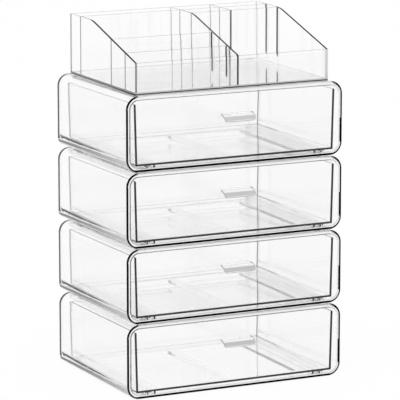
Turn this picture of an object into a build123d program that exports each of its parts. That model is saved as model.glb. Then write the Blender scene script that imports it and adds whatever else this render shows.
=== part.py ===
"""A stack of four clear drawer units with a nine-compartment cosmetics tray on top.

Millimetres, +Z up. X runs across the front, with -X on the left as one faces the drawers, and
the drawers pull out towards -Y. The origin is on the table, under the middle of the whole
outline, pulls included.
"""

import os
from math import cos, radians, sin

from build123d import *

# Casing: a round-cornered tube, closed at the back, one below each drawer level
casing_width = 305.0
casing_height = 96.1
casing_depth = 222.0
casing_corner = 17.0
casing_heel_corner = 8.0  # the underside's corners at the back, which are tighter
casing_wall = 4.0
casing_back = 4.0
side_draft = 3.5  # how much nearer the middle each side is at the back
height_draft = 2.0  # how much the underside rises, and the roof falls, by the back
rim_round = 2.4  # polished rounding of the outer front edge
lip_round = 0.8  # polished rounding of the inner front edge
back_round = 2.0  # rounding of the back's outer edge
drawer_levels = 4

# Windows in each casing's floor, which keep the moulding light
window_spine = 12.5  # floor left between the two windows
window_side_margin = 53.0
window_front_margin = 24.0
window_back_margin = 34.0
window_corner = 2.0

# Feet: clear pads under each casing, and the level seats that they land on
foot_height = 1.0  # gap between a casing's front lower edge and what it stands on
foot_diameter = 9.0
foot_from_side = 28.5
foot_from_end = 14.0
seat_margin = 1.5  # seat standing out round the foot

# Rails on the casing floor, which carry and guide the drawer
carry_rail_from_side = 39.0
guide_rail_from_side = 29.3
carry_rail_width = 2.4
guide_rail_width = 2.0
rail_stand = 1.5  # level top of the carrying rails, above the floor's high back end
guide_rail_drop = 0.4  # guide rail's top below the carrying rail's
rail_setback = 1.0  # from the back of the drawer front to the rail's end
slide_clearance = 0.1

# Drawer box: floor, two sides and a back, bonded to the drawer front
box_wall = 2.4
box_floor = 2.3
box_headroom = 6.5  # from the box's upper edge to the casing's roof, at the front
box_side_gap = 7.0  # from the casing's inner side to the box's upper edge
box_lean = 2.0  # how much wider the box is at its upper edge, on each side
box_fall = 2.6  # how much lower the box's edge is at the back
box_rear_gap = 12.0  # from the box to the inside of the casing's back
box_edge_round = 1.2
rib_width = 1.4
rib_clearance = 0.4  # under the ribs, above the floor's high back end
rib_gap = 4.0  # free width between the two ribs that straddle a guide rail

# Drawer front: a round-cornered plate that nearly fills the casing's mouth
front_thickness = 3.0
front_clearance = 0.8
front_edge_round = 0.6

# Pull: a lip that curls out and down from the drawer front
pull_width = 43.5
pull_thickness = 2.6
pull_radius = 16.0  # of its upper surface
pull_sweep = 62.0  # degrees from level at the root to the slope at the tip
pull_root_height = 66.2  # of its upper surface, above the casing's underside
pull_corner = 3.0

# Tray: flat sheets, bonded and slotted together
sheet = 2.6  # the upright sheets
tray_base_sheet = 3.0
tray_side_margin = 16.5  # from the casing's side to the tray's
tray_setback = 10.0  # from the casing's front to the tray's front
tray_back_margin = 15.0
tray_height = 78.0
tray_front_height = 40.0
tray_flat_top = 66.0  # level part of the side's edge, from the back
tray_crest_round = 70.0
middle_divider_offset = 7.8  # to the right of the middle
short_divider_from_side = 71.0  # from the tray's right side
back_row_depth = 26.6  # clear depth of the two shallow compartments at the back
brush_row_depth = 29.4  # clear depth of the right half's small middle compartments
left_front_depth = 27.4  # clear depth of the left half's front compartment
left_middle_depth = 38.9  # clear depth of the compartment behind that

# Joints between bonded or slotted sheets
glue_line = 0.05  # thickness of the cement between two bonded faces
slot_clearance = 0.1  # on each side of a sheet that stands in another's slot

# Worked out from the sizes above
pull_reach = glue_line + pull_radius * sin(radians(pull_sweep))
front_y = -(casing_depth + pull_reach) / 2 + pull_reach  # every casing's front
back_y = front_y + casing_depth
underside = foot_height  # lowest casing's underside at its front edge
level_pitch = casing_height + foot_height
roof = underside + casing_height
middle_z = underside + casing_height / 2
inner_back_y = back_y - casing_back
mouth_half_width = casing_width / 2 - casing_wall
mouth_height = casing_height - 2 * casing_wall
inner_corner = casing_corner - casing_wall
side_slope = side_draft / casing_depth
height_slope = height_draft / casing_depth
foot_x = casing_width / 2 - foot_from_side
seat_diameter = foot_diameter + 2 * seat_margin
window_side = casing_width / 2 - window_side_margin

front_back_y = front_y + front_thickness
box_front_y = front_back_y + glue_line
rail_front_y = front_back_y + rail_setback
rail_top = casing_wall + height_draft + rail_stand  # above the casing's underside
carry_rail_x = casing_width / 2 - carry_rail_from_side
guide_rail_x = casing_width / 2 - guide_rail_from_side
rib_height = rail_stand + slide_clearance - rib_clearance
box_under = underside + rail_top + slide_clearance
box_top = roof - casing_wall - box_headroom
box_height = box_top - box_under
box_half_top = mouth_half_width - box_side_gap
box_half_bottom = box_half_top - box_lean
box_back_y = inner_back_y - box_rear_gap
box_side_draft = side_slope * (box_back_y - box_front_y)

tray_width = casing_width - 2 * tray_side_margin
tray_depth = casing_depth - tray_setback - tray_back_margin
tray_bottom = underside + drawer_levels * level_pitch - foot_height
tray_front_y = front_y + tray_setback
tray_back_y = tray_front_y + tray_depth
foot_lift = tray_base_sheet + glue_line  # from the tray's bottom to its upright sheets
wall_foot = tray_bottom + foot_lift
wall_height = tray_height - foot_lift
tray_half = tray_width / 2
short_divider_offset = tray_half - short_divider_from_side
edge_slope = (tray_height - tray_front_height) / (tray_depth - tray_flat_top)
back_row_y = tray_back_y - sheet - back_row_depth - sheet / 2
brush_row_y = back_row_y - sheet - brush_row_depth
left_front_y = tray_front_y + sheet + left_front_depth + sheet / 2
left_middle_y = left_front_y + sheet + left_middle_depth
slot_height = wall_height / 2
slot_width = sheet + 2 * slot_clearance


def upright(y):
    """The plane across the object at y, seen from the front."""
    return Plane.XZ.offset(-y)


def casing_section(y, width, height, upper_corner, lower_corner):
    """The casing's outline at y, with its own rounding above and below."""
    with BuildSketch(upright(y)) as section:
        with Locations((0, middle_z)):
            Rectangle(width, height)
        fillet(section.vertices().group_by(Axis.Y)[-1], upper_corner)
        fillet(section.vertices().group_by(Axis.Y)[0], lower_corner)
    return section.sketch


def box_section(y, inset, bottom, top):
    """The drawer box's section at y: its sides lean out, and inset draws them in."""
    lean = box_lean / box_height
    low = box_half_bottom - inset + lean * (bottom - box_under)
    high = box_half_bottom - inset + lean * (top - box_under)
    with BuildSketch(upright(y)) as section:
        with BuildLine():
            Polyline((-low, bottom), (low, bottom), (high, top), (-high, top), close=True)
        make_face()
    return section.sketch


def write(shape, name):
    """Labels a finished piece and writes it to its own file."""
    shape.label = name
    export_step(shape, f"parts/{name}.step")


os.makedirs("parts", exist_ok=True)

# Casing
with BuildPart() as casing:
    add(casing_section(front_y, casing_width, casing_height, casing_corner, casing_corner))
    back_width = casing_width - 2 * side_draft
    back_height = casing_height - 2 * height_draft
    back_corner = casing_corner - height_draft
    add(casing_section(back_y, back_width, back_height, back_corner, casing_heel_corner))
    loft()
    outer_rim = casing.faces().sort_by(Axis.Y)[0].outer_wire().edges()
    fillet(outer_rim, rim_round)
    outer_back = casing.faces().sort_by(Axis.Y)[-1].outer_wire().edges()
    fillet(outer_back, back_round)

    # The hollow that the drawer runs in
    hollow_depth = casing_depth - casing_back
    with BuildSketch(upright(front_y)):
        with Locations((0, middle_z)):
            RectangleRounded(2 * mouth_half_width, mouth_height, inner_corner)
    with BuildSketch(upright(inner_back_y)):
        with Locations((0, middle_z)):
            RectangleRounded(
                2 * (mouth_half_width - side_slope * hollow_depth),
                mouth_height - 2 * height_slope * hollow_depth,
                inner_corner - height_slope * hollow_depth,
            )
    loft(mode=Mode.SUBTRACT)
    inner_rim = casing.faces().sort_by(Axis.Y)[0].inner_wires()[0].edges()
    fillet(inner_rim, lip_round)

    # Rails stand on the rising floor, with level tops, and run into the back wall
    rail_back_y = inner_back_y + casing_back / 2
    for rail_x, width, top in (
        (-carry_rail_x, carry_rail_width, rail_top),
        (carry_rail_x, carry_rail_width, rail_top),
        (-guide_rail_x, guide_rail_width, rail_top - guide_rail_drop),
        (guide_rail_x, guide_rail_width, rail_top - guide_rail_drop),
    ):
        inside_floor = underside + casing_wall / 2
        with BuildSketch(Plane.YZ.offset(rail_x)):
            with BuildLine():
                Polyline(
                    (rail_front_y, inside_floor + height_slope * (rail_front_y - front_y)),
                    (rail_back_y, inside_floor + height_slope * (rail_back_y - front_y)),
                    (rail_back_y, underside + top),
                    (rail_front_y, underside + top),
                    close=True,
                )
            make_face()
        extrude(amount=width / 2, both=True)

    # Level seats on the falling roof, under the feet of the next casing
    with BuildSketch(Plane.XY.offset(roof)):
        seat_y = back_y - foot_from_end
        with Locations((-foot_x, seat_y), (foot_x, seat_y)):
            Circle(seat_diameter / 2)
    extrude(amount=-casing_wall / 2 - height_draft)

    # Windows through the floor
    window_width = window_side - window_spine / 2
    window_depth = casing_depth - window_front_margin - window_back_margin
    window_x = (window_side + window_spine / 2) / 2
    window_y = front_y + window_front_margin + window_depth / 2
    with BuildSketch(Plane.XY.offset(underside)):
        with Locations((-window_x, window_y), (window_x, window_y)):
            RectangleRounded(window_width, window_depth, window_corner)
    extrude(amount=casing_wall + 2 * height_draft, mode=Mode.SUBTRACT)

# Feet: the back pair is taller, because the underside rises
with BuildPart() as feet:
    foot_front_y = front_y + foot_from_end
    foot_back_y = back_y - foot_from_end
    for y in (foot_front_y, foot_back_y):
        rise = height_slope * (y - foot_diameter / 2 - front_y)
        with BuildSketch(Plane.XY):
            with Locations((-foot_x, y), (foot_x, y)):
                Circle(foot_diameter / 2)
        extrude(amount=foot_height + rise)

# Drawer box
with BuildPart() as drawer_box:
    with BuildPart(mode=Mode.PRIVATE) as hollow:
        inner_floor = box_under + box_floor
        above = box_top + box_wall
        add(box_section(box_front_y - box_wall, box_wall, inner_floor, above))
        add(box_section(box_back_y - box_wall, box_wall + box_side_draft, inner_floor, above))
        loft()
    add(box_section(box_front_y, 0, box_under, box_top))
    add(box_section(box_back_y, box_side_draft, box_under, box_top))
    loft()
    lower_edges = drawer_box.faces().sort_by(Axis.Z)[0].edges().filter_by(Axis.X, reverse=True)
    fillet(lower_edges, box_edge_round)
    add(hollow.part, mode=Mode.SUBTRACT)
    with BuildSketch(Plane.XY.offset(box_under + box_floor / 2)):
        rib_length = box_back_y - box_front_y
        for side in (-1, 1):
            for step in (-1, 1):
                rib_x = side * guide_rail_x + step * (rib_gap + rib_width) / 2
                with Locations((rib_x, box_front_y)):
                    Rectangle(rib_width, rib_length, align=(Align.CENTER, Align.MIN))
    extrude(amount=-box_floor / 2 - rib_height)

    # The sides and the back lose height towards the rear
    with BuildSketch(Plane.YZ):
        with BuildLine():
            Polyline(
                (box_front_y, box_top),
                (box_back_y, box_top - box_fall),
                (box_back_y, above),
                (box_front_y, above),
                close=True,
            )
        make_face()
    extrude(amount=mouth_half_width, both=True, mode=Mode.SUBTRACT)

# Drawer front
with BuildPart() as drawer_front:
    with BuildSketch(upright(front_y)):
        with Locations((0, middle_z)):
            RectangleRounded(
                2 * (mouth_half_width - front_clearance),
                mouth_height - 2 * front_clearance,
                inner_corner - front_clearance,
            )
    extrude(amount=-front_thickness)
    fillet(drawer_front.edges().group_by(Axis.Y)[0], front_edge_round)

# Pull
with BuildPart() as drawer_pull:
    curl_centre = (front_y - glue_line, underside + pull_root_height - pull_radius)
    with BuildSketch(Plane.YZ) as curl:
        with Locations(curl_centre):
            Circle(pull_radius)
            Circle(pull_radius - pull_thickness, mode=Mode.SUBTRACT)
        with BuildLine():
            beyond = 2 * pull_radius
            Polyline(
                curl_centre,
                (curl_centre[0], curl_centre[1] + beyond),
                (curl_centre[0] - beyond, curl_centre[1] + beyond),
                (
                    curl_centre[0] - beyond * sin(radians(pull_sweep)),
                    curl_centre[1] + beyond * cos(radians(pull_sweep)),
                ),
                close=True,
            )
        make_face(mode=Mode.INTERSECT)
    extrude(amount=pull_width / 2, both=True)
    short_edges = drawer_pull.edges().filter_by(lambda edge: edge.length < 1.1 * pull_thickness)
    fillet(short_edges.group_by(Axis.Y)[0], pull_corner)

# Tray
with BuildPart() as tray_base:
    with BuildSketch(Plane.XY.offset(tray_bottom)):
        with Locations((0, tray_front_y)):
            Rectangle(tray_width, tray_depth, align=(Align.CENTER, Align.MIN))
    extrude(amount=tray_base_sheet)


def edge_height(y):
    """How high the tray's sloping side edge stands at y, above the tray's bottom."""
    return min(tray_height, tray_front_height + edge_slope * (y - tray_front_y))


with BuildPart() as side_profile:
    with BuildSketch(Plane.YZ):
        with BuildLine():
            Polyline(
                (tray_front_y, wall_foot),
                (tray_front_y, tray_bottom + tray_front_height),
                (tray_back_y - tray_flat_top, tray_bottom + tray_height),
                (tray_back_y, tray_bottom + tray_height),
                (tray_back_y, wall_foot),
                close=True,
            )
        make_face()
    extrude(amount=sheet)
    crest = side_profile.edges().filter_by(Axis.X).sort_by_distance(
        (0, tray_back_y - tray_flat_top, tray_bottom + tray_height)
    )[0]
    fillet(crest, tray_crest_round)

with BuildPart() as tray_left_side:
    with Locations((-tray_half, 0)):
        add(side_profile.part)

with BuildPart() as tray_right_side:
    with Locations((tray_half - sheet, 0)):
        add(side_profile.part)


def cross_wall(y, left_x, right_x, height):
    """An upright sheet across the tray, centred at y, from left_x to right_x."""
    with BuildPart() as wall:
        with BuildSketch(Plane.XY.offset(wall_foot)):
            with Locations((left_x, y)):
                Rectangle(right_x - left_x, sheet, align=(Align.MIN, Align.CENTER))
        extrude(amount=height)
    return wall.part


inner_half = tray_half - sheet - glue_line
divider_left = middle_divider_offset - sheet / 2
left_end = divider_left - glue_line
right_end = middle_divider_offset + sheet / 2 + glue_line
front_wall_y = tray_front_y + sheet / 2
back_wall_y = tray_back_y - sheet / 2

tray_front = cross_wall(front_wall_y, -inner_half, inner_half, tray_front_height - foot_lift)
tray_back = cross_wall(back_wall_y, -inner_half, inner_half, wall_height)
brush_wall = cross_wall(brush_row_y, right_end, inner_half, wall_height)
left_front_wall = cross_wall(
    left_front_y, -inner_half, left_end, edge_height(left_front_y - sheet / 2) - foot_lift
)
left_middle_wall = cross_wall(
    left_middle_y, -inner_half, left_end, edge_height(left_middle_y - sheet / 2) - foot_lift
)

# The back row's wall is slotted from below, over the two dividers
with BuildPart() as back_row_wall:
    add(cross_wall(back_row_y, -inner_half, inner_half, wall_height))
    with BuildSketch(Plane.XY.offset(wall_foot)):
        with Locations((middle_divider_offset, back_row_y), (short_divider_offset, back_row_y)):
            Rectangle(slot_width, sheet)
    extrude(amount=slot_height + slot_clearance, mode=Mode.SUBTRACT)

# The dividers are slotted from above, under the back row's wall
with BuildPart() as middle_divider:
    with Locations((divider_left, 0)):
        add(side_profile.part)
    with BuildSketch(Plane.XY.offset(wall_foot)):
        with Locations((middle_divider_offset, front_wall_y), (middle_divider_offset, back_wall_y)):
            Rectangle(sheet, sheet + 2 * glue_line)
    extrude(amount=wall_height, mode=Mode.SUBTRACT)
    with BuildSketch(Plane.XY.offset(wall_foot + slot_height)):
        with Locations((middle_divider_offset, back_row_y)):
            Rectangle(sheet, slot_width)
    extrude(amount=wall_height - slot_height, mode=Mode.SUBTRACT)

with BuildPart() as short_divider:
    short_front_y = brush_row_y + sheet / 2 + glue_line
    short_back_y = tray_back_y - sheet - glue_line
    with BuildSketch(Plane.XY.offset(wall_foot)):
        with Locations((short_divider_offset, short_front_y)):
            Rectangle(sheet, short_back_y - short_front_y, align=(Align.CENTER, Align.MIN))
    extrude(amount=wall_height)
    with BuildSketch(Plane.XY.offset(wall_foot + slot_height)):
        with Locations((short_divider_offset, back_row_y)):
            Rectangle(sheet, slot_width)
    extrude(amount=wall_height - slot_height, mode=Mode.SUBTRACT)

# One set of pieces on each level
for level in range(drawer_levels):
    lift = Pos(0, 0, level * level_pitch)
    write(lift * casing.part, f"casing_{level + 1}")
    write(lift * feet.part, f"casing_feet_{level + 1}")
    write(lift * drawer_box.part, f"drawer_box_{level + 1}")
    write(lift * drawer_front.part, f"drawer_front_{level + 1}")
    write(lift * drawer_pull.part, f"drawer_pull_{level + 1}")

for shape, name in (
    (tray_base.part, "tray_base"),
    (tray_front, "tray_front_wall"),
    (tray_back, "tray_back_wall"),
    (tray_left_side.part, "tray_left_side"),
    (tray_right_side.part, "tray_right_side"),
    (middle_divider.part, "tray_middle_divider"),
    (short_divider.part, "tray_short_divider"),
    (back_row_wall.part, "tray_back_row_wall"),
    (brush_wall, "tray_brush_row_wall"),
    (left_middle_wall, "tray_left_middle_wall"),
    (left_front_wall, "tray_left_front_wall"),
):
    write(shape, name)
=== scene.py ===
"""Looks for a stack of four clear drawer units under an open cosmetics tray, photographed on white."""

import math

import bpy
from bpy.props import FloatProperty, FloatVectorProperty, PointerProperty
from bpy.types import Operator, Panel, PropertyGroup
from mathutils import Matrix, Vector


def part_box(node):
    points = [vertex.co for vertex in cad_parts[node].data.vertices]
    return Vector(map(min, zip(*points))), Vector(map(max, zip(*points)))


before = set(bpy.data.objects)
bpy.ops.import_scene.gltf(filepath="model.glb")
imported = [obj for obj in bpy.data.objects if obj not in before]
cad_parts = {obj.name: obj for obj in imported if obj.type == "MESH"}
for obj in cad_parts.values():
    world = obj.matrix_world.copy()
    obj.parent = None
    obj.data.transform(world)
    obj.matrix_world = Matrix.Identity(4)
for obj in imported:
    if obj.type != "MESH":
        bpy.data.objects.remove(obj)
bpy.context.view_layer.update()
MM = 0.001
RAIL_START = 4 * MM  # from a casing's front to the front ends of its rails
CORNER = 17 * MM  # radius of a casing's corners, seen from the front
RIM_WIDTH = 3.3 * MM  # the painted shade, a dark line along a casing's mouth
CORNER_RIM_WIDTH = 3.0 * MM  # the same round its right corners
JOINT_DEPTH = 1.2 * MM  # how far the painted shade at a joint reaches in from the right end of a tray wall
PULL_SHADE_START = math.radians(36)  # slope where the pull's painted shade starts
PULL_SHADE_END = math.radians(59)
ACRYLIC_IOR = 1.49
SILICONE_IOR = 1.41
DRAWER_FRONT_IOR = 1.36  # lowered from acrylic's, to match how faint the drawer fronts look
PAD_ROUGHNESS = 0.2
GLOW_SHARE = 0.95  # how much of the floor's white is its own, so that shadows on it stay faint
LAMP_PLACE = (-0.6, -0.6, 2.2)
LAMP_TILT = math.radians(15)
CLEAR_BOUNCES = 40  # enough for a ray to pass through every wall of the stack
SENSOR_WIDTH = 36.0
VIEW_DEPTH = 100.0

# Ranges of a facing: how far a surface faces along one axis, where 1 is square on
POSITIVE = (0.9, 1.1)  # squarely to the right, to the back or up
NEGATIVE = (-1.1, -0.9)  # squarely to the left, to the front or down
NEITHER = (-0.1, 0.1)
ROUNDED_FRONT = (-0.98, -0.12)  # to the front, but not squarely
ANY_FRONT = (-1.1, -0.12)
LEFTWARD = (-1.0, -0.06)
RIGHTWARD = (0.06, 1.0)
UPWARD = (0.0, 1.0)
DOWNWARD = (-1.0, 0.0)
LONG_LEFT = (-1.0, -0.2)  # the left long corner of a casing, without its flat underside
LONG_RIGHT = (0.2, 1.0)

# Shares of a piece's own box. Its ends are at 0 and 1, and these lie just outside them
START = -0.01
END = 1.01
LOW_HALF = (0.0, 0.5)
HIGH_HALF = (0.5, 1.0)
LOWER_PART = (0.0, 0.3)
ROUNDING_SHARE = 0.015  # a casing's front, where its rim is rounded
MOUTH_SHARE = 0.012  # the same for all of its wall's front
RIM_TOP_SHARE = 0.97  # from here up, a casing's rim gets a light grey painted shade instead of black, for the light it mirrors
BOX_BACK_SHARE = 0.985  # a drawer box's side, where its back wall starts
BOX_JOINT_SHARE = 0.005  # a drawer box's end, bonded to the drawer front
FRONT_END_SHARE = 0.3  # a lengthwise tray sheet, with its upright front end
REAR_END_SHARE = 0.99  # the same sheet's rear end
LEFT_END_SHARE = 0.01  # the left end of a tray wall that runs across
BASE_TOP_SHARE = 0.65  # from here up, the tray base's edges get a grey painted shade
BASE_BOTTOM_SHARE = 0.42  # from here down, they get a black painted shadow
JOINT_FADE = ("share_z", 0.12, 0.17)  # the painted shade at a tray wall's right joint turns dark over these heights
LONG_EDGE_FADE = ("share_y", -0.6, 1.0)  # the painted shade on a casing's long edge turns darker all the way back

# Painted shade on the tray sheets' cut edges: how dark the upright front end and the sloping edge are
# painted
LENGTHWISE_SHEETS = {
    "tray_left_side": ("#8C8C8C", "#040404"),
    "tray_right_side": ("#D0D0D0", "#101010"),
    "tray_middle_divider": ("#040404", "#404040"),
    "tray_short_divider": ("#8F8F8F", "#585858"),
}
# The same painted shade for the left and right ends of the walls that run across
CROSSWISE_SHEETS = {
    "tray_back_row_wall": ("#707070", "#404040"),
    "tray_brush_row_wall": ("#B0B0B0", "#040404"),
    "tray_left_middle_wall": ("#303030", "#404040"),
    "tray_left_front_wall": ("#303030", "#101010"),
}

bl_info = {
    "name": "Clear Drawer Organizer Looks",
    "version": (1, 0, 0),
    "blender": (4, 5, 0),
    "location": "View3D > Sidebar > Organizer",
    "description": "Clear plastic finishes, stage, light and camera for a stackable drawer organizer",
    "category": "Material",
}


def linear(hex_colour):
    """An sRGB hex colour as linear red, green and blue."""
    channels = (int(hex_colour[i : i + 2], 16) / 255 for i in (1, 3, 5))
    return tuple(c / 12.92 if c <= 0.04045 else ((c + 0.055) / 1.055) ** 2.4 for c in channels)


def nodes_named(start):
    """The frame's pieces whose names start with these letters, in order."""
    return [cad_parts[name] for name in sorted(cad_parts) if name.startswith(start)]


class OrganizerTintsAndShades(PropertyGroup):
    """Tints of the clear plastics, and the painted shade and highlight tones on their edges."""

    moulded_tint: FloatVectorProperty(
        name="Moulded tint",
        description="What a wall of the moulded casings and drawers lets through",
        subtype="COLOR",
        default=linear("#FDFDFD"),
    )
    sheet_tint: FloatVectorProperty(
        name="Sheet tint",
        description="What a cast sheet of the tray and the drawer fronts lets through",
        subtype="COLOR",
        default=linear("#FEFEFE"),
    )
    # Painted shade: near black on the casings' rims, the rails' front ends and the tray base's lowest edge
    painted_edge_shade: FloatVectorProperty(
        name="Rim line",
        description="Tone of the casings' rounded rims, where light is trapped in the wall",
        subtype="COLOR",
        default=linear("#0A0A0A"),
    )
    # Painted shade along the casings' lower long corners, darker towards the back
    painted_long_edge_shade: FloatVectorProperty(
        name="Long lower edge",
        description="Tone of the line along the casings' lower long corners, darker towards the back",
        subtype="COLOR",
        default=linear("#8C8C8C"),
    )
    # Painted shade, pale, on the casings' lower long corners below that line
    painted_long_corner_shade: FloatVectorProperty(
        name="Long lower corner",
        description="Tone of the casings' lower long corners below that line",
        subtype="COLOR",
        default=linear("#E0E0E0"),
    )
    # Painted shade, light grey, on edges such as the casing rim's level top, the pull's sides and the tray
    # base's edges
    painted_soft_edge_shade: FloatVectorProperty(
        name="Soft edge",
        description="Tone of edges that are only a little darker than white, such as the rim's level top",
        subtype="COLOR",
        default=linear("#D4D4D4"),
    )
    # Painted highlight, near white and opaque, on flat edges such as the front of the casing's wall
    painted_edge_highlight: FloatVectorProperty(
        name="Bright edge",
        description="Tone of flat edges that look bright, such as the front face of the casing's wall",
        subtype="COLOR",
        default=linear("#F2F2F2"),
    )
    # Painted shade, near black, on the drawer box's front ends where they meet the drawer front
    painted_joint_shade: FloatVectorProperty(
        name="Bonded joint",
        description="Tone of the drawer box's ends behind the drawer front",
        subtype="COLOR",
        default=linear("#0C0C0C"),
    )
    # Painted shade, grey, on the drawer front's rounded edge
    painted_plate_edge_shade: FloatVectorProperty(
        name="Drawer front edge",
        description="Tone of the drawer front's rounded edge",
        subtype="COLOR",
        default=linear("#A8A8A8"),
    )
    # Painted shade on the band where the pull curls down
    pull_shade_colour: FloatVectorProperty(
        name="Pull shade",
        description="Tone of the band where the pull curls down",
        subtype="COLOR",
        default=linear("#BCBCBC"),
    )
    # Painted shade, grey, on the upper part of the tray base's side edges
    painted_base_edge_shade: FloatVectorProperty(
        name="Tray base edge",
        description="Tone of the tray base's cut edges",
        subtype="COLOR",
        default=linear("#505050"),
    )
    pad_tint: FloatVectorProperty(
        name="Foot pad tint",
        description="Colour of the soft clear feet",
        subtype="COLOR",
        default=linear("#8C8C8C"),
    )


class OrganizerStage(PropertyGroup):
    """Camera, floor and light."""

    camera_place: FloatVectorProperty(
        name="Camera place",
        description="Where the camera stands",
        subtype="TRANSLATION",
        unit="LENGTH",
        default=(-1.78968, -3.62776, 1.02851),
    )
    camera_heading: FloatProperty(
        name="Camera heading",
        description="Turn of the camera to the right of straight ahead",
        subtype="ANGLE",
        default=math.radians(26.26),
    )
    camera_tilt: FloatProperty(
        name="Camera tilt",
        description="How far the camera looks down",
        subtype="ANGLE",
        default=math.radians(11.203),
    )
    camera_lens: FloatProperty(
        name="Lens",
        description="Focal length on a 36 mm sensor",
        subtype="DISTANCE_CAMERA",
        default=286.29,
    )
    floor_size: FloatProperty(
        name="Floor",
        description="Side of the square floor",
        unit="LENGTH",
        default=40.0,
    )
    floor_colour: FloatVectorProperty(
        name="Floor colour",
        description="Plain pale floor",
        subtype="COLOR",
        default=linear("#F4F4F4"),
    )
    lamp_power: FloatProperty(
        name="Lamp power",
        description="Power of the large soft lamp over the object",
        unit="POWER",
        default=12.0,
    )
    lamp_size: FloatProperty(
        name="Lamp size",
        description="Side of the square soft lamp",
        unit="LENGTH",
        default=2.0,
    )


def add_node(tree, kind, inputs=None, **settings):
    """Adds a node with its settings, and fills its inputs with values, sockets or nodes."""
    node = tree.nodes.new(kind)
    for name, value in settings.items():
        setattr(node, name, value)
    for key, value in (inputs or {}).items():
        if isinstance(value, bpy.types.Node):
            value = value.outputs[0]
        if isinstance(value, bpy.types.NodeSocket):
            tree.links.new(value, node.inputs[key])
        else:
            node.inputs[key].default_value = value
    return node


def fresh_material(name):
    """An empty node material and its tree."""
    material = bpy.data.materials.new(name)
    material.use_nodes = True
    material.node_tree.nodes.clear()
    return material, material.node_tree


def dress(pieces, material):
    """Puts one material on all of each piece."""
    for piece in pieces:
        piece.data.materials.clear()
        piece.data.materials.append(material)


class Surface:
    """Where a shaded point is on its piece, and which way the surface faces there.

    Its measures are facing_x to facing_z, the outward normal, place_x to place_z in metres,
    share_x to share_z, from 0 to 1 over the piece's own box, and outside, which is 1 where the
    surface is seen from the air and -1 where it is seen from within the plastic.
    """

    def __init__(self, tree):
        self.tree = tree
        geometry = add_node(tree, "ShaderNodeNewGeometry")
        coordinates = add_node(tree, "ShaderNodeTexCoord")
        # Seen from inside the plastic, the normal is turned round, so this turns it back
        outward = add_node(
            tree,
            "ShaderNodeMapRange",
            {"Value": geometry.outputs["Backfacing"], "To Min": 1.0, "To Max": -1.0},
        )
        normal = add_node(
            tree,
            "ShaderNodeVectorMath",
            {0: geometry.outputs["True Normal"], "Scale": outward},
            operation="SCALE",
        )
        self.share = coordinates.outputs["Generated"]
        self.measures = {"outside": outward.outputs[0]}
        for kind, vector in (
            ("facing", normal),
            ("place", coordinates.outputs["Object"]),
            ("share", self.share),
        ):
            axes = add_node(tree, "ShaderNodeSeparateXYZ", {0: vector})
            for axis in "XYZ":
                self.measures[f"{kind}_{axis.lower()}"] = axes.outputs[axis]

    def measure_from(self, name, size, x, z):
        """Adds one more measure, the distance in metres from a line that runs from front to back.

        The size is that of the piece, and the line's x and z start at its lower left corner.
        """
        place = add_node(
            self.tree,
            "ShaderNodeVectorMath",
            {0: self.share, 1: (size.x, 0.0, size.z)},
            operation="MULTIPLY",
        )
        distance = add_node(
            self.tree, "ShaderNodeVectorMath", {0: place, 1: (x, 0.0, z)}, operation="DISTANCE"
        )
        self.measures[name] = distance.outputs["Value"]

    def mask(self, ranges, grows=None):
        """1 where every measure lies in its range. It may grow along one measure, from 0 to 1."""
        mask = None
        for measure, (low, high) in ranges.items():
            inside = add_node(
                self.tree,
                "ShaderNodeMath",
                {0: self.measures[measure], 1: (low + high) / 2, 2: (high - low) / 2},
                operation="COMPARE",
            )
            if mask:
                inside = add_node(self.tree, "ShaderNodeMath", {0: mask, 1: inside}, operation="MULTIPLY")
            mask = inside
        if grows:
            measure, low, high = grows
            growth = add_node(
                self.tree,
                "ShaderNodeMapRange",
                {"Value": self.measures[measure], "From Min": low, "From Max": high},
                interpolation_type="SMOOTHSTEP",
            )
            mask = add_node(self.tree, "ShaderNodeMath", {0: mask, 1: growth}, operation="MULTIPLY")
        return mask


def mark(tone, grows=None, **ranges):
    """A painted tone, of shade or highlight, on the part of a surface where each of its measures lies in
    its range.
    """
    return tone, grows, ranges


def clear_plastic(name, tint, marks=(), lines=(), roughness=0.0, ior=ACRYLIC_IOR, gloss=0.5):
    """Polished clear plastic, with opaque marks of painted shade and painted highlight where an edge traps
    light and shows as a tone.

    The tint stays close to white, because a wall of 2 to 4 mm shows no colour of its own. The
    gloss is for the marks alone. The lines are those that the marks' ranges are measured from.
    """
    material, tree = fresh_material(name)
    surface = Surface(tree)
    for line in lines:
        surface.measure_from(*line)
    colour = add_node(tree, "ShaderNodeRGB")
    colour.outputs[0].default_value = (*tint, 1.0)
    clear = 1.0
    for tone, grows, ranges in marks:
        mask = surface.mask(ranges, grows)
        colour = add_node(
            tree, "ShaderNodeMixRGB", {"Fac": mask, "Color1": colour, "Color2": (*tone, 1.0)}
        )
        uncovered = add_node(tree, "ShaderNodeMath", {0: 1.0, 1: mask}, operation="SUBTRACT")
        clear = add_node(tree, "ShaderNodeMath", {0: clear, 1: uncovered}, operation="MULTIPLY")
    shader = add_node(
        tree,
        "ShaderNodeBsdfPrincipled",
        {
            "Base Color": colour,
            "Roughness": roughness,
            "IOR": ior,
            "Specular IOR Level": gloss,
            "Transmission Weight": clear,
        },
    )
    add_node(tree, "ShaderNodeOutputMaterial", {"Surface": shader})
    return material


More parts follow.
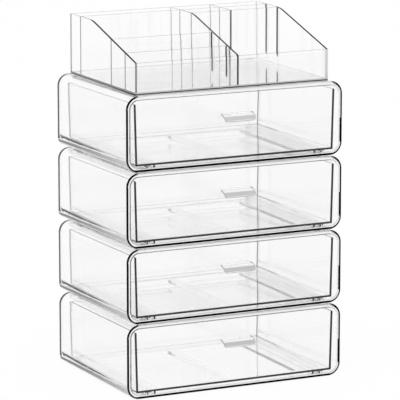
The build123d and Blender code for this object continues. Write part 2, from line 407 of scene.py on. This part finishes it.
class ORGANIZER_OT_casings(Operator):
    """Finish the four moulded casings and their feet"""

    bl_idname = "organizer.casings"
    bl_label = "Casings"

    def execute(self, context):
        finish = context.scene.organizer_finish
        # A casing's front: the rounding of its rim, and all of it. Its window corners lie further back
        rounded = {"facing_y": ROUNDED_FRONT, "share_y": (START, ROUNDING_SHARE)}
        front = {"facing_y": ANY_FRONT, "share_y": (START, MOUTH_SHARE)}
        # Painted shade on the lower long corners, seen from outside only, because seen through the casing
        # the corners look clear
        lower_long = {"facing_y": NEITHER, "share_z": LOWER_PART, "outside": (0.0, 2.0)}
        long_corner = {"facing_z": (-0.98, -0.02), **lower_long}
        long_edge = {"facing_z": (-0.55, -0.15), **lower_long}
        low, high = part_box("casing_1")
        size = high - low
        rail_front = low.y + RAIL_START
        round_corner = (CORNER - CORNER_RIM_WIDTH, CORNER + MM)
        corner_share_x = 1 - CORNER / size.x
        # Clear polystyrene, injection moulded: nearly invisible walls, with a near-black painted shade on
        # the front rims. The rim is painted black at the sides, corners and bottom, and its level top gets
        # a lighter painted tone for the light it mirrors
        casing = clear_plastic(
            "clear_polystyrene_moulded_casing",
            finish.moulded_tint,
            (
                mark(finish.painted_long_corner_shade, facing_x=LONG_LEFT, **long_corner),
                mark(finish.painted_long_corner_shade, facing_x=LONG_RIGHT, **long_corner),
                mark(finish.painted_long_edge_shade, LONG_EDGE_FADE, facing_x=LONG_LEFT, **long_edge),
                mark(finish.painted_long_edge_shade, LONG_EDGE_FADE, facing_x=LONG_RIGHT, **long_edge),
                # Painted highlight on the flat front of the casing's wall
                mark(finish.painted_edge_highlight, **front),
                mark(
                    finish.painted_soft_edge_shade,
                    facing_z=UPWARD,
                    share_z=(RIM_TOP_SHARE, END),
                    **rounded,
                ),
                mark(finish.painted_edge_shade, facing_x=LEFTWARD, share_x=LOW_HALF, **rounded),
                mark(finish.painted_edge_shade, facing_x=RIGHTWARD, share_x=HIGH_HALF, **rounded),
                mark(finish.painted_edge_shade, facing_z=DOWNWARD, share_z=LOW_HALF, **rounded),
                mark(finish.painted_edge_shade, share_z=(START, RIM_WIDTH / size.z), **front),
                mark(finish.painted_edge_shade, share_x=(1 - RIM_WIDTH / size.x, END), **front),
                mark(
                    finish.painted_edge_shade,
                    ("share_x", corner_share_x, (1 + corner_share_x) / 2),
                    from_upper_corner=round_corner,
                    share_z=(1 - CORNER / size.z, END),
                    **front,
                ),
                mark(
                    finish.painted_edge_shade,
                    from_lower_corner=round_corner,
                    share_x=(corner_share_x, END),
                    share_z=(START, CORNER / size.z),
                    **front,
                ),
                # Painted shade on the rails' front ends, which show as small black dots under the drawer
                mark(
                    finish.painted_edge_shade,
                    facing_y=NEGATIVE,
                    place_y=(rail_front - MM, rail_front + MM),
                ),
            ),
            (
                ("from_upper_corner", size, size.x - CORNER, size.z - CORNER),
                ("from_lower_corner", size, size.x - CORNER, CORNER),
            ),
            gloss=0.0,
        )
        # Clear silicone pads, cast, a little cloudy
        pad = clear_plastic(
            "clear_silicone_foot_pads", finish.pad_tint, roughness=PAD_ROUGHNESS, ior=SILICONE_IOR
        )
        feet = nodes_named("casing_feet_")
        dress([piece for piece in nodes_named("casing_") if piece not in feet], casing)
        dress(feet, pad)
        return {"FINISHED"}


class ORGANIZER_OT_drawers(Operator):
    """Finish the drawer boxes, fronts and pulls"""

    bl_idname = "organizer.drawers"
    bl_label = "Drawers"

    def execute(self, context):
        finish = context.scene.organizer_finish
        # Clear polystyrene, injection moulded: its front ends get a black painted shade, as they show
        # through the drawer front, and the ends of its back wall a painted highlight
        box = clear_plastic(
            "clear_polystyrene_moulded_drawer_box",
            finish.moulded_tint,
            (
                # Painted highlight on the box's sides where its back wall starts
                mark(finish.painted_edge_highlight, facing_x=NEGATIVE, share_y=(BOX_BACK_SHARE, END)),
                mark(finish.painted_edge_highlight, facing_x=POSITIVE, share_y=(BOX_BACK_SHARE, END)),
                mark(finish.painted_joint_shade, share_y=(START, BOX_JOINT_SHARE)),
            ),
            gloss=0.0,
        )
        # Cast acrylic, flame polished: clear faces, and a soft grey painted shade on the rounded edge
        plate = clear_plastic(
            "cast_acrylic_polished_drawer_front",
            finish.sheet_tint,
            (mark(finish.painted_plate_edge_shade, facing_y=ROUNDED_FRONT),),
            ior=DRAWER_FRONT_IOR,
        )
        # Acrylic strip, bent hot: the curl gets a soft grey band of painted shade, and its sides a faint
        # painted shade
        pull = clear_plastic(
            "acrylic_strip_heat_bent_pull",
            finish.sheet_tint,
            (
                mark(
                    finish.pull_shade_colour,
                    facing_z=(math.cos(PULL_SHADE_END), math.cos(PULL_SHADE_START)),
                    facing_x=NEITHER,
                ),
                # Painted shade, light grey, on the pull's side ends
                mark(finish.painted_soft_edge_shade, facing_x=(-1.1, -0.3)),
                mark(finish.painted_soft_edge_shade, facing_x=(0.3, 1.1)),
            ),
        )
        dress(nodes_named("drawer_box_"), box)
        dress(nodes_named("drawer_front_"), plate)
        dress(nodes_named("drawer_pull_"), pull)
        return {"FINISHED"}


class ORGANIZER_OT_tray(Operator):
    """Finish the tray's sheets"""

    bl_idname = "organizer.tray"
    bl_label = "Tray"

    def execute(self, context):
        finish = context.scene.organizer_finish
        # Cast acrylic sheet, laser cut and polished: clear faces, and painted shade from light grey to
        # black on the edges
        for piece, (front, slope) in LENGTHWISE_SHEETS.items():
            sheet = clear_plastic(
                f"cast_acrylic_sheet_{piece}",
                finish.sheet_tint,
                (
                    # Painted highlight on the rear end, painted shade on the front end and the sloping edge
                    mark(finish.painted_edge_highlight, facing_y=POSITIVE, share_y=(REAR_END_SHARE, END)),
                    mark(linear(front), facing_y=NEGATIVE, share_y=(START, FRONT_END_SHARE)),
                    mark(linear(slope), facing_y=(-0.9, -0.1)),
                ),
                gloss=0.0,
            )
            dress([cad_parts[piece]], sheet)
        for piece, (left, right) in CROSSWISE_SHEETS.items():
            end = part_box(piece)[1].x
            sheet = clear_plastic(
                f"cast_acrylic_sheet_{piece}",
                finish.sheet_tint,
                (
                    # Painted shade on the left end, and at the right joint
                    mark(linear(left), facing_x=NEGATIVE, share_x=(START, LEFT_END_SHARE)),
                    mark(linear(right), JOINT_FADE, place_x=(end - JOINT_DEPTH, end + MM)),
                ),
                gloss=0.0,
            )
            dress([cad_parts[piece]], sheet)
        # Painted highlight on the ends of the front and back walls
        plain = clear_plastic(
            "cast_acrylic_sheet_outer_walls",
            finish.sheet_tint,
            (
                mark(finish.painted_edge_highlight, facing_x=NEGATIVE),
                mark(finish.painted_edge_highlight, facing_x=POSITIVE),
            ),
        )
        dress([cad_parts["tray_front_wall"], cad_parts["tray_back_wall"]], plain)
        # Painted shade on the base's cut edges: light grey, grey near the top, and a black painted shadow
        # along the bottom where the base sits on the casing
        base = clear_plastic(
            "cast_acrylic_sheet_tray_base",
            finish.sheet_tint,
            (
                mark(finish.painted_soft_edge_shade, facing_x=NEGATIVE),
                mark(finish.painted_soft_edge_shade, facing_x=POSITIVE),
                mark(finish.painted_soft_edge_shade, facing_y=NEGATIVE),
                mark(finish.painted_base_edge_shade, facing_x=NEGATIVE, share_z=(BASE_TOP_SHARE, END)),
                mark(finish.painted_base_edge_shade, facing_x=POSITIVE, share_z=(BASE_TOP_SHARE, END)),
                mark(finish.painted_edge_shade, facing_z=NEITHER, share_z=(START, BASE_BOTTOM_SHARE)),
            ),
            gloss=0.0,
        )
        dress([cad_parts["tray_base"]], base)
        return {"FINISHED"}


def seen_share(tree):
    """1 for rays that the eye follows: straight, mirrored or through clear plastic."""
    path = add_node(tree, "ShaderNodeLightPath")
    mirrored = add_node(
        tree,
        "ShaderNodeMath",
        {0: path.outputs["Is Camera Ray"], 1: path.outputs["Is Glossy Ray"]},
        operation="MAXIMUM",
    )
    return add_node(
        tree, "ShaderNodeMath", {0: mirrored, 1: path.outputs["Is Transmission Ray"]}, operation="MAXIMUM"
    )


class ORGANIZER_OT_stage(Operator):
    """Make the floor, the light, the white surroundings and the camera"""

    bl_idname = "organizer.stage"
    bl_label = "Stage"

    def execute(self, context):
        stage = context.scene.organizer_stage
        scene = context.scene
        half = stage.floor_size / 2
        mesh = bpy.data.meshes.new("floor")
        corners = [(-half, -half, 0), (half, -half, 0), (half, half, 0), (-half, half, 0)]
        mesh.from_pydata(corners, [], [(0, 1, 2, 3)])
        floor = bpy.data.objects.new("floor", mesh)
        scene.collection.objects.link(floor)
        # Matt white paper: it glows plain white to the eye, and still takes the object's faint shadow
        material, tree = fresh_material("matt_white_studio_floor")
        paint = add_node(tree, "ShaderNodeBsdfDiffuse", {"Color": (*stage.floor_colour, 1.0)})
        glow = add_node(tree, "ShaderNodeEmission", {"Color": (1, 1, 1, 1), "Strength": 1.0})
        share = add_node(tree, "ShaderNodeMath", {0: seen_share(tree), 1: GLOW_SHARE}, operation="MULTIPLY")
        mix = add_node(tree, "ShaderNodeMixShader", {0: share, 1: paint, 2: glow})
        add_node(tree, "ShaderNodeOutputMaterial", {"Surface": mix})
        dress([floor], material)

        world = bpy.data.worlds.new("white_room")
        scene.world = world
        world.use_nodes = True
        tree = world.node_tree
        tree.nodes.clear()
        room = add_node(tree, "ShaderNodeBackground", {"Color": (1, 1, 1, 1), "Strength": 1.0})
        add_node(tree, "ShaderNodeOutputWorld", {"Surface": room})

        lamp_data = bpy.data.lights.new("soft_lamp", "AREA")
        lamp_data.energy = stage.lamp_power
        lamp_data.size = stage.lamp_size
        lamp = bpy.data.objects.new("soft_lamp", lamp_data)
        lamp.location = LAMP_PLACE
        lamp.rotation_euler = (LAMP_TILT, -LAMP_TILT, 0)
        scene.collection.objects.link(lamp)

        camera_data = bpy.data.cameras.new("camera")
        camera_data.sensor_width = SENSOR_WIDTH
        camera_data.lens = stage.camera_lens
        camera_data.clip_end = VIEW_DEPTH
        camera = bpy.data.objects.new("camera", camera_data)
        camera.location = stage.camera_place
        camera.rotation_euler = (math.pi / 2 - stage.camera_tilt, 0, -stage.camera_heading)
        scene.collection.objects.link(camera)
        scene.camera = camera

        scene.view_settings.view_transform = "Standard"
        scene.cycles.max_bounces = CLEAR_BOUNCES
        scene.cycles.transmission_bounces = CLEAR_BOUNCES
        scene.cycles.transparent_max_bounces = CLEAR_BOUNCES
        return {"FINISHED"}


class ORGANIZER_PT_panel(Panel):
    """Buttons for each group of pieces"""

    bl_label = "Organizer"
    bl_idname = "ORGANIZER_PT_panel"
    bl_space_type = "VIEW_3D"
    bl_region_type = "UI"
    bl_category = "Organizer"

    def draw(self, context):
        layout = self.layout
        for group in (context.scene.organizer_finish, context.scene.organizer_stage):
            for name in group.__annotations__:
                layout.prop(group, name)
        for operator in (ORGANIZER_OT_casings, ORGANIZER_OT_drawers, ORGANIZER_OT_tray, ORGANIZER_OT_stage):
            layout.operator(operator.bl_idname)


CLASSES = (
    OrganizerTintsAndShades,
    OrganizerStage,
    ORGANIZER_OT_casings,
    ORGANIZER_OT_drawers,
    ORGANIZER_OT_tray,
    ORGANIZER_OT_stage,
    ORGANIZER_PT_panel,
)


def register():
    for cls in CLASSES:
        bpy.utils.register_class(cls)
    bpy.types.Scene.organizer_finish = PointerProperty(type=OrganizerTintsAndShades)
    bpy.types.Scene.organizer_stage = PointerProperty(type=OrganizerStage)


def unregister():
    del bpy.types.Scene.organizer_stage
    del bpy.types.Scene.organizer_finish
    for cls in reversed(CLASSES):
        bpy.utils.unregister_class(cls)


def main():
    register()
    bpy.ops.organizer.casings()
    bpy.ops.organizer.drawers()
    bpy.ops.organizer.tray()
    bpy.ops.organizer.stage()


if __name__ == "__main__":
    main()
